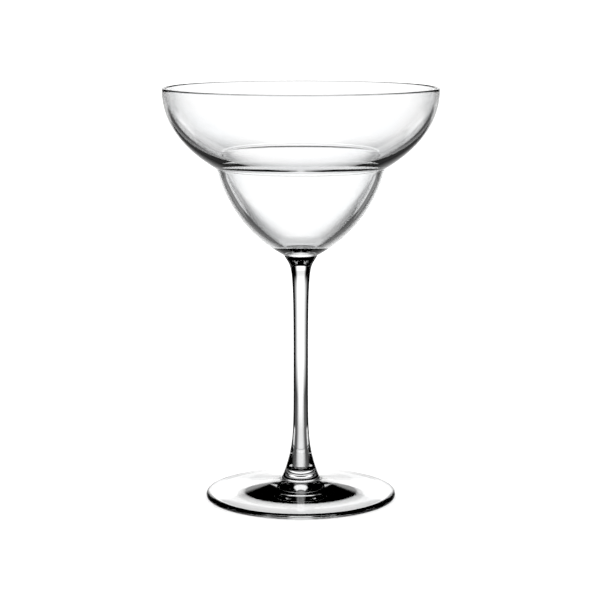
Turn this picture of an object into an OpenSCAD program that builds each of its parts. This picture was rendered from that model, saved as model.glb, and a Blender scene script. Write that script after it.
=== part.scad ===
// Margarita glass: a blown bowl of two tiers, a drawn stem and a round foot.
// The three are formed apart and fused while hot, so each is its own solid here,
// and they meet face to face at two flat welds.
// Millimetres, +Z up. The glass stands on z = 0 with its axis on Z.

/* [Whole glass] */
// Height from the table to the top of the rim
glass_h = 172; // [160:0.5:190]

/* [Bowl] */
// Outside diameter of the rim
rim_d = 114; // [100:1:130]
// Height of the step between the wide dish and the cup below it
step_h = 139; // [130:0.2:146]
// Outside diameter of that step
step_d = 70.6; // [60:0.2:84]
// Height of the weld between the bowl and the stem
bowl_weld_h = 102.7; // [94:0.1:110]
// Diameter of the weld between the bowl and the stem
bowl_weld_d = 14; // [11:0.1:17]
// Wall at the rim, which is fire polished to a full round
rim_wall = 1.4; // [0.9:0.1:2.2]
// Wall of the dish just above the step
dish_wall = 3.2; // [1.4:0.1:4]
// Wall of the cup just below the step
cup_wall = 3.2; // [1.2:0.1:4]
// Wall of the cup low down, where its side turns into the floor
cup_foot_wall = 3.5; // [1.4:0.1:4.5]
// Glass between the weld and the lowest point of the hollow
floor_wall = 4; // [1.5:0.1:6]
// Length over which the inside turns from the cup into the dish, each side of the step
step_turn = 0.8; // [0.6:0.1:6]
// Slope of the dish where it leaves the step, from level
dish_foot_angle = 33; // [24:1:42]
// Slope of the dish at the rim, where it has begun to draw in
dish_rim_angle = 90.7; // [82:0.1:95]
// Slope of the cup where it leaves the weld, from level
cup_foot_angle = 28.7; // [20:0.1:36]
// Slope of the cup just below the step
cup_step_angle = 72.6; // [64:0.1:80]

/* [Stem] */
// Diameter of the stem at its waist
waist_d = 6.1; // [4.5:0.1:9]
// Height of the waist
waist_h = 55; // [40:1:75]
// Slope of the stem's side where it opens into the bowl, from level
stem_top_angle = 64; // [54:1:76]
// Slope of the stem's side where it opens into the foot, from level
stem_foot_angle = 109.7; // [100:0.1:120]

/* [Foot] */
// Diameter of the foot
foot_d = 79.8; // [66:0.2:92]
// Thickness of the foot at its rounded edge
foot_edge = 2.5; // [1.6:0.1:4]
// Height of the weld between the foot and the stem
foot_weld_h = 10.2; // [8.5:0.1:13]
// Diameter of the weld between the foot and the stem
foot_weld_d = 14.2; // [12:0.1:16]
// Height at which the collar under the weld runs out into the foot
collar_h = 7.7; // [5.5:0.1:8.4]
// Diameter of the collar there
collar_d = 17.6; // [16.4:0.2:24]
// Inside diameter of the flat ring that the glass rests on, which runs out to the rounded edge
rest_inner_d = 74; // [56:1:76]
// Height of the hollow under the middle of the foot
hollow_h = 2.2; // [0.6:0.1:3]

/* [Hidden] */
$fn = 180;

// Number of straight pieces in a long curve, in a short turn, and in a rounded edge
curve_steps = 28;
turn_steps = 10;
round_steps = 12;

// How far each end pulls on its curve, as shares of the curve's chord
dish_pull_shares = [0.15, 0.49];
cup_pull_shares = [0.355, 0.38];
floor_pull_shares = [0.45, 0.35];
stem_top_pull_shares = [1.015, 0.144];
stem_foot_pull_shares = [0.286, 0.594];
collar_pull_shares = [0.4, 0.4];
deck_pull_shares = [0.33, 0.33];
hollow_pull_shares = [0.2, 0.55];

// Where the floor ends on the cup's curve, as a share of that curve
floor_end_share = 0.14;

// Slopes of the foot: the collar's two ends, the deck's two ends and the hollow's edge
collar_top_angle = -66;
collar_foot_angle = -30;
deck_top_angle = -13;
deck_edge_angle = -9;
hollow_edge_angle = -10;

rim_r = rim_d / 2;
lip_r = rim_wall / 2;
bowl_weld_r = bowl_weld_d / 2;
foot_weld_r = foot_weld_d / 2;
collar_r = collar_d / 2;
foot_r = foot_d / 2;
edge_r = foot_edge / 2;
rest_inner_r = rest_inner_d / 2;

// The direction at an angle from level, and the one a quarter turn to its left
function heading(angle) = [cos(angle), sin(angle)];
function left_of(angle) = [-sin(angle), cos(angle)];

// The four points that shape a curve from a to b, which leaves and arrives at the given angles
function pulls(a, b, angle_a, angle_b, pull_shares) =
    let (chord = norm(b - a))
    [a, a + chord * pull_shares[0] * heading(angle_a), b - chord * pull_shares[1] * heading(angle_b), b];

// The place on such a curve at t, from 0 at its start to 1 at its end, and how it runs there
function place(p, t) =
    let (s = 1 - t)
    s ^ 3 * p[0] + 3 * s ^ 2 * t * p[1] + 3 * s * t ^ 2 * p[2] + t ^ 3 * p[3];
function run(p, t) =
    let (s = 1 - t)
    3 * (s ^ 2 * (p[1] - p[0]) + 2 * s * t * (p[2] - p[1]) + t ^ 2 * (p[3] - p[2]));
function slope(p, t) = atan2(run(p, t)[1], run(p, t)[0]);

// Points along the curve
function curve(p, steps = curve_steps) = [for (i = [0 : steps]) place(p, i / steps)];

// The place a wall away on the curve's left, where the wall changes evenly along the curve,
// and the angle at which that inner side runs there
function wall_place(p, walls, t) =
    place(p, t) + (walls[0] + (walls[1] - walls[0]) * t) * left_of(slope(p, t));
function wall_slope(p, walls, t) = slope(p, t) + atan2(walls[1] - walls[0], norm(run(p, t)));
function wall_line(p, walls, t_a, t_b) =
    [for (i = [0 : curve_steps]) wall_place(p, walls, t_a + (t_b - t_a) * i / curve_steps)];

// Where the lines through a and b cross, each running at its own angle
function crossing(a, b, angle_a, angle_b) =
    a + heading(angle_a) * (cross(b - a, heading(angle_b)) / sin(angle_b - angle_a));

// Points that turn smoothly from a to b inside the corner c
function turning(a, c, b) =
    [for (i = [0 : turn_steps])
        let (t = i / turn_steps, s = 1 - t)
        s ^ 2 * a + 2 * s * t * c + t ^ 2 * b];

// A list of points without its first one, and one in the opposite order
function tail(points) = [for (i = [1 : len(points) - 1]) points[i]];
function reversed(points) = [for (i = [len(points) - 1 : -1 : 0]) points[i]];

// The outside of the cup and of the dish, which meet at the step
step = [step_d / 2, step_h];
lip_centre = [rim_r - lip_r, glass_h - lip_r];
cup_side = pulls([bowl_weld_r, bowl_weld_h], step, cup_foot_angle, cup_step_angle, cup_pull_shares);
dish_side = pulls(step, lip_centre + [lip_r, 0], dish_foot_angle, dish_rim_angle, dish_pull_shares);

// The inside follows the outside a wall away, except at the step, where it turns over
// the length step_turn each side, and at the floor, which is one round curve
cup_walls = [cup_foot_wall, cup_wall];
dish_walls = [dish_wall, rim_wall];
turn_from = 1 - step_turn / norm(run(cup_side, 1));
turn_to = step_turn / norm(run(dish_side, 0));
cup_inside = wall_line(cup_side, cup_walls, floor_end_share, turn_from);
dish_inside = wall_line(dish_side, dish_walls, turn_to, 1);
turn_start = wall_place(cup_side, cup_walls, turn_from);
turn_end = wall_place(dish_side, dish_walls, turn_to);
turn_corner = crossing(turn_start, turn_end,
    wall_slope(cup_side, cup_walls, turn_from), wall_slope(dish_side, dish_walls, turn_to));
floor_side = pulls([0, bowl_weld_h + floor_wall], wall_place(cup_side, cup_walls, floor_end_share),
    0, wall_slope(cup_side, cup_walls, floor_end_share), floor_pull_shares);

module glass() {
    color([0.86, 0.91, 0.93, 0.45])
    rotate_extrude()
    children();
}

// Wide dish over a narrower cup, blown as one shell, standing on the weld to the stem
module bowl() {
    lip = [for (i = [1 : round_steps]) lip_centre + lip_r * heading(180 * i / round_steps)];
    glass()
    polygon(concat(
        [[0, bowl_weld_h]],
        curve(cup_side),
        tail(curve(dish_side)),
        lip,
        tail(reversed(dish_inside)),
        tail(reversed(turning(turn_start, turn_corner, turn_end))),
        tail(reversed(cup_inside)),
        tail(reversed(curve(floor_side, turn_steps)))));
}

// Solid stem, slimmest at its waist, opening like a trumpet at both ends
module stem() {
    waist = [waist_d / 2, waist_h];
    foot_end = [foot_weld_r, foot_weld_h];
    bowl_end = [bowl_weld_r, bowl_weld_h];
    glass()
    polygon(concat(
        [[0, foot_weld_h]],
        curve(pulls(foot_end, waist, stem_foot_angle, 90, stem_foot_pull_shares)),
        tail(curve(pulls(waist, bowl_end, 90, stem_top_angle, stem_top_pull_shares))),
        [[0, bowl_weld_h]]));
}

// Round foot: a collar under the weld, a deck that falls to a rounded edge, and a shallow
// hollow underneath, inside the flat ring that the glass rests on
module foot() {
    collar_foot = [collar_r, collar_h];
    edge_centre = [foot_r - edge_r, edge_r];
    rest_inner = [rest_inner_r, 0];
    edge = [for (i = [1 : round_steps]) edge_centre + edge_r * heading(90 - 180 * i / round_steps)];
    glass()
    polygon(concat(
        [[0, foot_weld_h]],
        curve(pulls([foot_weld_r, foot_weld_h], collar_foot,
            collar_top_angle, collar_foot_angle, collar_pull_shares), turn_steps),
        tail(curve(pulls(collar_foot, edge_centre + [0, edge_r],
            deck_top_angle, deck_edge_angle, deck_pull_shares))),
        edge,
        curve(pulls(rest_inner, [0, hollow_h],
            180 + hollow_edge_angle, 180, hollow_pull_shares))));
}

bowl();
stem();
foot();
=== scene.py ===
# %% [markdown]
# # A margarita glass
# A stemmed glass is three pieces of glass that are fused while hot: a blown bowl of two tiers,
# a drawn stem and a round foot. Nothing on it is painted or printed, so the whole picture is
# made by shape, by wall thickness and by light. This lesson loads the measured solids, turns
# each piece again on a finer mesh, and lights it the way a studio lights clear glass.

# %% Load the frame
import math

import bmesh
import bpy
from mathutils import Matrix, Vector


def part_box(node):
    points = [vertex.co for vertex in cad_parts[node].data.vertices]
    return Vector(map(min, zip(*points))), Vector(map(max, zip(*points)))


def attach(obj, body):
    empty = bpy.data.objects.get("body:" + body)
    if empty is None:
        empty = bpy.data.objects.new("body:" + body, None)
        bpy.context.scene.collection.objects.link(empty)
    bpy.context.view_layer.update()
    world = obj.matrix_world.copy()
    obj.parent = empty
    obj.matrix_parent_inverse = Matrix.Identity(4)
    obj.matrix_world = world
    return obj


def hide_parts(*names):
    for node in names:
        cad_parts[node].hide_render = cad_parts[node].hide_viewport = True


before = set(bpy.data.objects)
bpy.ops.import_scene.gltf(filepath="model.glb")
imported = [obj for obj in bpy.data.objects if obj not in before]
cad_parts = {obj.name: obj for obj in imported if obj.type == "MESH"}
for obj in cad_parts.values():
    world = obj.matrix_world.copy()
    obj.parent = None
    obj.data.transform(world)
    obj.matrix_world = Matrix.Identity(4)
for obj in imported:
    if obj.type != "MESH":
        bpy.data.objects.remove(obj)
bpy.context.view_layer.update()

MM = 0.001
print("nodes:", sorted(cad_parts))

# %% [markdown]
# ## The camera
# The glass was pictured from a little above, through a long lens. A round rim seen at an angle
# is an ellipse, so a least squares fit to the ellipses of the rim, the step and the foot gave
# the camera's height, distance and tilt. It comes first, because every later choice is judged
# through it.

# %% Camera
camera_distance = 831.9 * MM
camera_height = 215.8 * MM
camera_side = -0.34 * MM
camera_tilt = math.radians(9.022)
lens_mm = 121.28

camera_data = bpy.data.cameras.new("camera")
camera_data.lens = lens_mm
camera_data.sensor_width = 36
camera_data.clip_start = 0.05
camera_data.clip_end = 50
camera = bpy.data.objects.new("camera", camera_data)
camera.location = (camera_side, -camera_distance, camera_height)
camera.rotation_euler = (math.pi / 2 - camera_tilt, 0, 0)
bpy.context.scene.collection.objects.link(camera)
bpy.context.scene.camera = camera
print("camera, mm:", [round(c / MM, 1) for c in camera.location])

# %% [markdown]
# ## The sizes
# The heights of the welds and the outside widths come from the frame, so they follow the
# solids. The section's own sizes repeat those of the solids, in millimetres and degrees, with
# one name for each, and change by hand when the solids do. The slopes and pulls of the cup,
# the dish and the stem came out of a least squares fit to the measured outline, which is why
# they aren't round numbers. The walls are a guess that suited the picture.

# %% Heights and widths from the frame
bowl_low, bowl_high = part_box("bowl")
foot_low, foot_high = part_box("foot")
glass_h = bowl_high.z / MM
rim_r = bowl_high.x / MM
bowl_weld_h = bowl_low.z / MM
foot_r = foot_high.x / MM
foot_weld_h = foot_high.z / MM
print("height", round(glass_h, 1), "rim radius", round(rim_r, 1), "foot radius", round(foot_r, 1))
print("welds at", round(foot_weld_h, 1), "and", round(bowl_weld_h, 1))

# %% Section sizes
step_h = 139
step_r = 35.3
bowl_weld_r = 7
rim_wall = 1.4
dish_wall = 3.2
cup_wall = 3.2
cup_foot_wall = 3.5
floor_wall = 4
step_turn = 0.8
waist_r = 3.05
waist_h = 55
foot_edge = 2.5
foot_weld_r = 7.1
collar_h = 7.7
collar_r = 8.8
rest_inner_r = 37
hollow_h = 2.2

# %% Slopes of the section, from level
dish_foot_angle = 33
dish_rim_angle = 90.7
cup_foot_angle = 28.7
cup_step_angle = 72.6
stem_top_angle = 64
stem_foot_angle = 109.7
collar_top_angle = -66
collar_foot_angle = -30
deck_top_angle = -13
deck_edge_angle = -9
hollow_edge_angle = -10

# %% How far each end pulls on its curve, as shares of the curve's chord
dish_pull_shares = (0.15, 0.49)
cup_pull_shares = (0.355, 0.38)
floor_pull_shares = (0.45, 0.35)
stem_top_pull_shares = (1.015, 0.144)
stem_foot_pull_shares = (0.286, 0.594)
collar_pull_shares = (0.4, 0.4)
deck_pull_shares = (0.33, 0.33)
hollow_pull_shares = (0.2, 0.55)

# %% Where the cup's floor ends on its side, as a share of the side's curve
floor_end_share = 0.14

# %% [markdown]
# ## Curves
# A glass blower's profile has no straight lines. Each stretch of it is a Bezier curve: it
# leaves one point at an angle, arrives at the next at another, and each end pulls on it by a
# share of its length. The inside of a wall could be an offset modifier, but a wall that thins
# towards the rim has to be worked out here, a given thickness to the curve's left.

# %% Curves that draw a section
def heading(degrees):
    return Vector((math.cos(math.radians(degrees)), math.sin(math.radians(degrees))))

class Curve:
    """A smooth curve from a to b that leaves and arrives at the given angles."""

    def __init__(self, a, b, angle_a, angle_b, pull_shares):
        a, b = Vector(a), Vector(b)
        chord = (b - a).length
        self.p = (a, a + heading(angle_a) * chord * pull_shares[0],
                  b - heading(angle_b) * chord * pull_shares[1], b)

    def place(self, t):
        a, p, q, b = self.p
        s = 1 - t
        return s ** 3 * a + 3 * s ** 2 * t * p + 3 * s * t ** 2 * q + t ** 3 * b

    def run(self, t):
        a, p, q, b = self.p
        s = 1 - t
        return 3 * (s ** 2 * (p - a) + 2 * s * t * (q - p) + t ** 2 * (b - q))

    def slope(self, t):
        run = self.run(t)
        return math.degrees(math.atan2(run.y, run.x))

    def points(self, steps):
        return [self.place(i / steps) for i in range(steps + 1)]

    def wall_place(self, walls, t):
        wall = walls[0] + (walls[1] - walls[0]) * t
        return self.place(t) + wall * heading(self.slope(t) + 90)

    def wall_slope(self, walls, t):
        return self.slope(t) + math.degrees(math.atan2(walls[1] - walls[0], self.run(t).length))

    def wall_points(self, walls, t_a, t_b, steps):
        return [self.wall_place(walls, t_a + (t_b - t_a) * i / steps) for i in range(steps + 1)]

def crossing(a, b, angle_a, angle_b):
    along = (b - a).cross(heading(angle_b)) / math.sin(math.radians(angle_b - angle_a))
    return a + heading(angle_a) * along

def turning(a, corner, b, steps):
    return [(1 - t) ** 2 * a + 2 * (1 - t) * t * corner + t ** 2 * b
            for t in (i / steps for i in range(steps + 1))]

# %% [markdown]
# ## Turning a section
# Every piece of this glass is round, so each is its half section spun once about the upright
# axis. A Screw modifier would do the same, but the spin operator leaves a plain closed mesh.
# Clear glass shows every facet twice, in front and behind, so the steps are fine ones. The
# flat ring that the spin leaves open at a weld is filled as one face with its own finish.

# %% Steps of the curves and of the turn, and how near the axis counts as on it, in metres
bowl_steps = 88
curve_steps = 48
turn_steps = 20
round_steps = 12
spin_steps = 192
on_axis = 1e-9
pole_gap = 1e-6

# %% Turn a section round the axis
def turned(name, outline, finishes):
    bm = bmesh.new()
    verts = [bm.verts.new((p.x * MM, 0, p.y * MM)) for p in outline]
    edges = [bm.edges.new(pair) for pair in zip(verts, verts[1:])]
    bmesh.ops.spin(bm, geom=verts + edges, cent=(0, 0, 0), axis=(0, 0, 1), dvec=(0, 0, 0),
                   angle=2 * math.pi, steps=spin_steps, use_merge=True)
    poles = [v for v in bm.verts if v.co.xy.length < on_axis]
    bmesh.ops.remove_doubles(bm, verts=poles, dist=pole_gap)
    for face in bm.faces:
        face.smooth = True
    rings = [edge for edge in bm.edges if edge.is_boundary]
    for weld in bmesh.ops.holes_fill(bm, edges=rings, sides=0)["faces"]:
        weld.material_index = 1
    for edge in rings:
        edge.smooth = False
    bmesh.ops.recalc_face_normals(bm, faces=bm.faces)
    mesh = bpy.data.meshes.new(name)
    bm.to_mesh(mesh)
    bm.free()
    for finish in finishes:
        mesh.materials.append(finish.material)
    piece = bpy.data.objects.new(name, mesh)
    bpy.context.scene.collection.objects.link(piece)
    print(name, "has", len(mesh.polygons), "faces")
    return piece

# %% [markdown]
# ## Shader maths
# A finish that changes over a surface is a sum on that surface's coordinates. Wiring one by
# hand takes a node for every plus and times. Here a small class wraps a socket, so that plain
# arithmetic adds those nodes, and one method makes any other node: its settings first, then
# the values or links of its sockets.

# %% Sockets that can be added and multiplied
class Socket:
    """An output socket, on which arithmetic adds the Math nodes."""

    def __init__(self, finish, output):
        self.finish, self.output = finish, output

    def math(self, operation, *others):
        made = self.finish.node("ShaderNodeMath", {"operation": operation},
                                dict(enumerate((self, *others))))
        return Socket(self.finish, made.outputs[0])

    def __add__(self, other):
        return self.math("ADD", other)

    def __sub__(self, other):
        return self.math("SUBTRACT", other)

    def __rsub__(self, other):
        return self * -1 + other

    def __mul__(self, other):
        return self.math("MULTIPLY", other)

    __radd__, __rmul__ = __add__, __mul__

# %% Which of a Mix node's sockets are its factor, its two colours and its result
mix_factor, mix_a, mix_b, mix_result = 0, 6, 7, 2

# %% A finish, and the masks that it is painted with
class Finish:
    """A node material. Its node method makes every node in it."""

    def __init__(self, name):
        self.material = bpy.data.materials.new(name)
        self.material.use_nodes = True
        self.tree = self.material.node_tree
        self.shader = self.tree.nodes["Principled BSDF"]
        self.output = self.tree.nodes["Material Output"]

    def set(self, node, sockets):
        for name, value in sockets.items():
            if isinstance(value, Socket):
                value = value.output
            if isinstance(value, bpy.types.NodeSocket):
                self.tree.links.new(value, node.inputs[name])
            else:
                node.inputs[name].default_value = value

    def node(self, kind, settings=None, sockets=None):
        made = self.tree.nodes.new(kind)
        for name, value in (settings or {}).items():
            setattr(made, name, value)
        self.set(made, sockets or {})
        return made

    def place(self):
        coordinates = self.node("ShaderNodeTexCoord")
        split = self.node("ShaderNodeSeparateXYZ",
                          sockets={"Vector": coordinates.outputs["Object"]})
        return [Socket(self, split.outputs[axis]) for axis in "XYZ"]

    def noise(self, scale):
        coordinates = self.node("ShaderNodeTexCoord")
        cloud = self.node("ShaderNodeTexNoise",
                          sockets={"Vector": coordinates.outputs["Object"], "Scale": scale})
        return Socket(self, cloud.outputs["Fac"])

    def mixed(self, factor, colour_a, colour_b):
        mix = self.node("ShaderNodeMix", {"data_type": "RGBA"},
                        {mix_factor: factor, mix_a: colour_a, mix_b: colour_b})
        return mix.outputs[mix_result]

def smooth_between(value, low, high):
    ramp = value.finish.node("ShaderNodeMapRange", {"interpolation_type": "SMOOTHSTEP"},
                             {"Value": value, "From Min": low, "From Max": high})
    return Socket(value.finish, ramp.outputs[0])

def within(value, low, low_full, high_full, high):
    return smooth_between(value, low, low_full) * (1 - smooth_between(value, high_full, high))

# %% [markdown]
# ## Clear crystal
# The glass has no colour to speak of, but a thick stretch of it is very slightly cool, and a
# surface that was shaped by breath and fire is never quite even. Absorption inside the volume
# would give the tint, but it slows every ray down, so a cloudy cool tint on the surface stands
# in for it, with a bump a few microns high for the waves of the fire polish. Where the foot
# rubs on tables, its ring of contact is faintly scuffed.

# %% Clear crystal
crystal_ior = 1.52
clear_tint = (1, 1, 1, 1)
cool_tint = (0.985, 0.993, 1, 1)
tint_scale = 45
tint_low, tint_high = 0.3, 0.7
wave_scale = 70
wave_distance = 0.004 * MM
rest_h = 0.05 * MM
rest_edge = 1
scuff_scale = 900
scuff_low, scuff_high = 0.5, 0.7
scuff_roughness = 0.25

crystal = Finish("clear_crystal")
x, y, z = crystal.place()
reach = (x * x + y * y).math("SQRT")
rest_ring = within(reach, rest_inner_r * MM - rest_h, rest_inner_r * MM,
                   (foot_r - rest_edge) * MM, foot_r * MM)
on_table = 1 - smooth_between(z, 0, rest_h)
scuffs = rest_ring * on_table * smooth_between(crystal.noise(scuff_scale), scuff_low, scuff_high)
tint = crystal.mixed(smooth_between(crystal.noise(tint_scale), tint_low, tint_high),
                     clear_tint, cool_tint)
waves = crystal.node("ShaderNodeBump", sockets={
    "Distance": wave_distance, "Height": crystal.noise(wave_scale)})
crystal.set(crystal.shader, {
    "Base Color": tint, "Roughness": scuffs * scuff_roughness, "Normal": waves.outputs["Normal"],
    "IOR": crystal_ior, "Transmission Weight": 1})
print("clear_crystal has", len(crystal.tree.nodes), "nodes")

# %% [markdown]
# ## The weld
# Where two pieces are fused there is no surface left inside the glass: light goes straight on.
# Two faces that meet there would be drawn as a thin film of air, so they have a finish that
# is wholly see-through.

# %% Fused weld
fused_weld = Finish("fused_weld")
fused_weld.set(fused_weld.shader, {"Alpha": 0})

# %% [markdown]
# ## The bowl
# A wide shallow dish stands over a narrower round cup, blown as one shell in a mould. Outside,
# the two meet in a crisp step. Inside, the glass turns the same corner within a millimetre or
# two, which draws the faint ellipse in the dish. The wall is thickest at the floor of the cup,
# where the gather of hot glass sat, and thins to the rim, whose edge a flame has melted to a
# full round.

# %% Outside of the bowl
step = Vector((step_r, step_h))
lip_r = rim_wall / 2
lip_centre = Vector((rim_r - lip_r, glass_h - lip_r))
cup_side = Curve((bowl_weld_r, bowl_weld_h), step, cup_foot_angle, cup_step_angle, cup_pull_shares)
dish_side = Curve(step, lip_centre + Vector((lip_r, 0)), dish_foot_angle, dish_rim_angle,
                  dish_pull_shares)
lip = [lip_centre + lip_r * heading(180 * i / round_steps) for i in range(1, round_steps + 1)]

# %% Inside of the bowl
cup_walls = (cup_foot_wall, cup_wall)
dish_walls = (dish_wall, rim_wall)
turn_from = 1 - step_turn / cup_side.run(1).length
turn_to = step_turn / dish_side.run(0).length
turn_start = cup_side.wall_place(cup_walls, turn_from)
turn_end = dish_side.wall_place(dish_walls, turn_to)
turn_corner = crossing(turn_start, turn_end, cup_side.wall_slope(cup_walls, turn_from),
                       dish_side.wall_slope(dish_walls, turn_to))
floor_side = Curve((0, bowl_weld_h + floor_wall), cup_side.wall_place(cup_walls, floor_end_share),
                   0, cup_side.wall_slope(cup_walls, floor_end_share), floor_pull_shares)
inside = (floor_side.points(turn_steps)
          + cup_side.wall_points(cup_walls, floor_end_share, turn_from, bowl_steps)[1:]
          + turning(turn_start, turn_corner, turn_end, turn_steps)[1:]
          + dish_side.wall_points(dish_walls, turn_to, 1, bowl_steps)[1:-1])
print("inside of the bowl:", round(inside[0].y, 1), "mm at its lowest")

# %% Bowl
outline = cup_side.points(bowl_steps) + dish_side.points(bowl_steps)[1:] + lip + inside[::-1]
bowl = turned("crystal_bowl", outline, [crystal, fused_weld])

# %% [markdown]
# ## The stem
# The stem is drawn out of hot glass: solid, slimmest about halfway up, and opening like a
# trumpet into the bowl and into the foot. A round rod is a lens, which is what makes the dark
# lines down its sides, so its profile is two long curves that meet upright at the waist.

# %% Stem
waist = Vector((waist_r, waist_h))
stem_foot = Curve((foot_weld_r, foot_weld_h), waist, stem_foot_angle, 90, stem_foot_pull_shares)
stem_top = Curve(waist, (bowl_weld_r, bowl_weld_h), 90, stem_top_angle, stem_top_pull_shares)
outline = stem_foot.points(curve_steps) + stem_top.points(curve_steps)[1:]
stem = turned("crystal_stem", outline, [crystal, fused_weld])

# %% [markdown]
# ## The foot
# The foot is a gather pressed flat while soft: a small collar under the stem, a deck that
# falls gently to a rounded edge, and a shallow hollow underneath, so that the glass stands on
# a ring and doesn't rock. The dark oval that shows through the foot is the hollow's doing.

# %% Foot
edge_r = foot_edge / 2
edge_centre = Vector((foot_r - edge_r, edge_r))
collar = Curve((foot_weld_r, foot_weld_h), (collar_r, collar_h), collar_top_angle,
               collar_foot_angle, collar_pull_shares)
deck = Curve((collar_r, collar_h), edge_centre + Vector((0, edge_r)), deck_top_angle,
             deck_edge_angle, deck_pull_shares)
edge = [edge_centre + edge_r * heading(90 - 180 * i / round_steps)
        for i in range(1, round_steps + 1)]
hollow = Curve((rest_inner_r, 0), (0, hollow_h), 180 + hollow_edge_angle, 180, hollow_pull_shares)
outline = (collar.points(turn_steps) + deck.points(curve_steps)[1:] + edge
           + hollow.points(curve_steps))
foot = turned("crystal_foot", outline, [crystal, fused_weld])

# %% Each piece stands for its solid
for piece, node in ((bowl, "bowl"), (stem, "stem"), (foot, "foot")):
    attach(piece, "root")
    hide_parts(node)

# %% [markdown]
# ## The floor
# The glass stands on a plain pale table top with no edge in sight. Round the foot its colour is
# painted a shade darker, a painted shadow, so that the glass has something to stand on. Glass
# shows whatever is behind it, so the light below does the work of a white floor, and the floor
# itself keeps out of the refractions.

# %% Floor
floor_half = 6.0
# The near colour is a painted shadow round the foot. The far colour is the floor's own even pale.
painted_shadow_colour = (0.85, 0.85, 0.85, 1)
far_shade = (0.95, 0.95, 0.95, 1)
painted_shadow_r = 0.15
painted_shadow_fade_r = 0.6

bm = bmesh.new()
bmesh.ops.create_grid(bm, x_segments=1, y_segments=1, size=floor_half)
floor_mesh = bpy.data.meshes.new("floor")
bm.to_mesh(floor_mesh)
bm.free()
floor = bpy.data.objects.new("floor", floor_mesh)
bpy.context.scene.collection.objects.link(floor)
floor.visible_transmission = False
floor.visible_glossy = False

pale_floor = Finish("pale_floor")
x, y, _ = pale_floor.place()
reach = (x * x + y * y).math("SQRT")
# Painted shadow: the floor's colour darkens towards the foot and fades out further off.
floor_colour_with_painted_shadow = pale_floor.mixed(smooth_between(reach, painted_shadow_r, painted_shadow_fade_r), painted_shadow_colour, far_shade)
pale_floor.set(pale_floor.shader, {"Base Color": floor_colour_with_painted_shadow, "Roughness": 1, "Specular IOR Level": 0})
floor_mesh.materials.append(pale_floor.material)

# %% [markdown]
# ## The light
# Clear glass has no shade of its own: what is drawn are the edges, where it bends the view
# away from what stands behind it. A studio lights it from behind with a bright field and keeps
# the rest of the room dark, which draws each edge as a fine black line. Here the sky is one
# soft white light, and a shell of black card round the studio shuts most of it out. Every
# opening in the card is a range of directions: how far round from straight behind, and how
# high over the table.

# %% Soft white sky
sky_strength = 1.5
sky = bpy.data.worlds.new("studio")
sky.use_nodes = True
sky.node_tree.nodes["Background"].inputs["Color"].default_value = (1, 1, 1, 1)
sky.node_tree.nodes["Background"].inputs["Strength"].default_value = sky_strength
bpy.context.scene.world = sky
bpy.context.scene.view_settings.view_transform = "Standard"

# %% Shell of black card
shell_r = 4.0
shell_h = 0.1
shell_turns = 64
shell_rings = 32
bm = bmesh.new()
bmesh.ops.create_uvsphere(bm, u_segments=shell_turns, v_segments=shell_rings, radius=shell_r)
shell_mesh = bpy.data.meshes.new("card_shell")
bm.to_mesh(shell_mesh)
bm.free()
shell = bpy.data.objects.new("card_shell", shell_mesh)
bpy.context.scene.collection.objects.link(shell)
shell.location.z = shell_h
shell.visible_camera = False
shell.visible_diffuse = False
shell.visible_shadow = False

black_card = Finish("black_card")
x, y, z = black_card.place()
turn = x.math("ABSOLUTE").math("ARCTAN2", y) * math.degrees(1)
rise = z.math("ARCTAN2", (x * x + y * y).math("SQRT")) * math.degrees(1)

# %% [markdown]
# ### The openings
# Straight behind stands the window, widest at its sill, a little below the table's level. A
# band of gauze dims it at the horizon, which greys the far edge of the foot. Below the sill it
# runs on as a narrow dimmer strip, with a faint patch on each side that fades outwards: that
# is what the foot and the stem look down into. A lamp hangs high behind and draws the
# highlights in the dish. Three pairs of small windows round the room do the same work for
# someone who walks round the glass.
#
# Most of these numbers weren't chosen one by one. A search changed them in turn and kept what
# brought the glass nearer to its photograph. A few were changed after that, and the gauze and
# the side windows were set one by one. So they suit the front view best.

# %% Window, strip and lamp, as shares of the sky's light, and the share that the gauze stops
window_share = 0.88
strip_share = 0.59
patch_share = 0.08
lamp_share = 0.63
gauze_share = 0.3

# %% How far round each fades, in degrees from straight behind
strip_turn = (5, 26)
sill_turn = (8, 44)
window_turn = (12, 24)
patch_turn = (21, 24, 28, 54)
lamp_turn = (32, 52)

# %% How high each begins and ends, in degrees from the table's level
strip_end_rise = (-56, -54)
bright_rise = (-18, -10)
patch_top_rise = (-14, -10)
sill_rise = (-13, -11)
window_rise = (-7, 0)
gauze_rise = (-5, 0, 2.5, 5)
window_top_rise = (19, 22)
lamp_rise = (55, 57, 64, 66)

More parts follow.
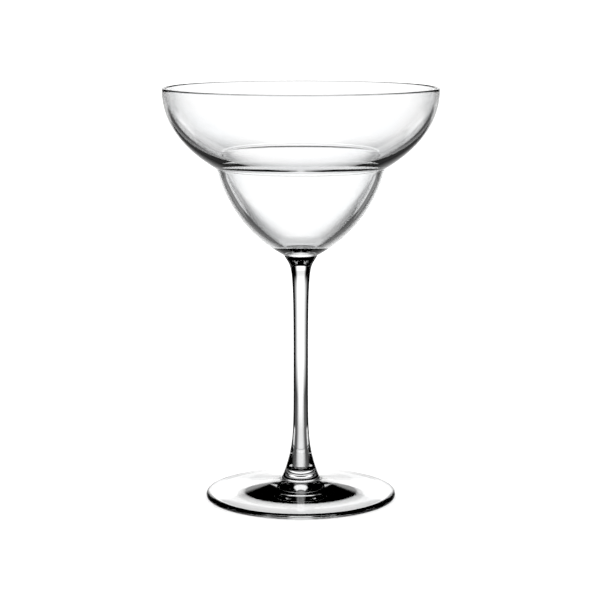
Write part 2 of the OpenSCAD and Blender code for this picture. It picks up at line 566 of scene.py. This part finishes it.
# %% The light that the openings let in
strip_width = 1 - smooth_between(turn, *strip_turn)
sill_width = 1 - smooth_between(turn, *sill_turn)
window_width = 1 - smooth_between(turn, *window_turn)
width = strip_width + (sill_width - strip_width) * smooth_between(rise, *sill_rise)
width = width + (window_width - width) * smooth_between(rise, *window_rise)
bright = smooth_between(rise, *bright_rise) * (window_share - strip_share) + strip_share
under_top = 1 - smooth_between(rise, *window_top_rise)
over_end = smooth_between(rise, *strip_end_rise)
gauze = within(rise, *gauze_rise) * gauze_share
window = width * bright * (1 - gauze) * under_top * over_end
under_sill = 1 - smooth_between(rise, *patch_top_rise)
patch = within(turn, *patch_turn) * under_sill * over_end * patch_share
lamp = (1 - smooth_between(turn, *lamp_turn)) * within(rise, *lamp_rise) * lamp_share
light = window.math("MAXIMUM", patch).math("MAXIMUM", lamp)

# %% Side windows: how far round and how high each is, and its share of the light
side_windows = ((45, -25, 0.54), (90, -3, 0.74), (135, -15, 0.74))
side_half = 6
side_edge = 4
side_rise_half = 6
side_rise_edge = 2
for turn_at, rise_at, side_share in side_windows:
    across = within(turn, turn_at - side_half - side_edge, turn_at - side_half,
                    turn_at + side_half, turn_at + side_half + side_edge)
    up = within(rise, rise_at - side_rise_half - side_rise_edge, rise_at - side_rise_half,
                rise_at + side_rise_half, rise_at + side_rise_half + side_rise_edge)
    light = light.math("MAXIMUM", across * up * side_share)

# %% The card shuts out the rest, but not from the floor
bounces = Socket(black_card, black_card.node("ShaderNodeLightPath").outputs["Diffuse Depth"])
shut = (1 - light) * (1 - bounces.math("MINIMUM", 1))
opening = black_card.node("ShaderNodeBsdfTransparent")
black_card.set(black_card.shader, {
    "Base Color": (0, 0, 0, 1), "Roughness": 1, "Specular IOR Level": 0})
card = black_card.node("ShaderNodeMixShader", sockets={
    0: shut, 1: opening.outputs[0], 2: black_card.shader.outputs[0]})
black_card.set(black_card.output, {"Surface": card.outputs[0]})
shell_mesh.materials.append(black_card.material)
print("black_card has", len(black_card.tree.nodes), "nodes")
